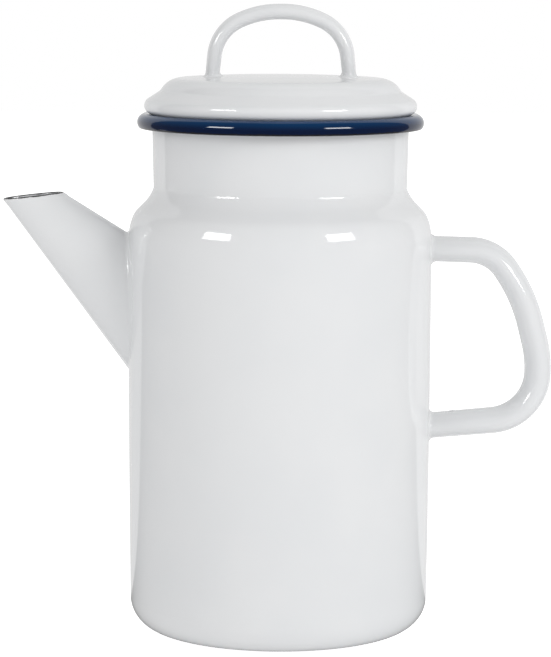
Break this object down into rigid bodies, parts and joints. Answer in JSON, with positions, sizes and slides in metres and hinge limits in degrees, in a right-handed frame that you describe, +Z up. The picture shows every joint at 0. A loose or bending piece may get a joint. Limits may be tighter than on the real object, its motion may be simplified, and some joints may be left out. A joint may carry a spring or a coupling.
{
  "type": "enamel coffee pot",
  "caption": "Tall enamelled steel coffee pot with a straight tapered spout, a hollow D-shaped side handle, a blue rolled rim and a lift-off plug lid with an arch handle.",
  "frame": {"origin": "on the pot's vertical axis, at the plane of the base ring that it stands on", "axes": "+Z up along the pot's axis, the spout points to -X, the side handle to +X, and the XZ plane is the plane of symmetry"},
  "size_m": [0.2287, 0.126, 0.261],
  "materials": {
    "body_enamel": "glossy white vitreous enamel",
    "rim_enamel": "glossy navy blue vitreous enamel",
    "spout_front_enamel": "glossy white vitreous enamel",
    "spout_back_enamel": "glossy white vitreous enamel",
    "handle_front_enamel": "glossy white vitreous enamel",
    "handle_back_enamel": "glossy white vitreous enamel",
    "lid_enamel": "glossy white vitreous enamel",
    "lid_handle_enamel": "glossy white vitreous enamel"
  },
  "bodies": {
    "pot": {"body_shell": "body_enamel", "rim_bead": "rim_enamel", "spout_front_half": "spout_front_enamel", "spout_back_half": "spout_back_enamel", "handle_front_half": "handle_front_enamel", "handle_back_half": "handle_back_enamel"},
    "lid": {"lid_shell": "lid_enamel", "lid_handle": "lid_handle_enamel"}
  },
  "joints": [
    {"name": "lid_lift", "type": "slide", "parent": "pot", "child": "lid", "axis": [0, 0, 1], "range_m": [0, 0.1]}
  ]
}
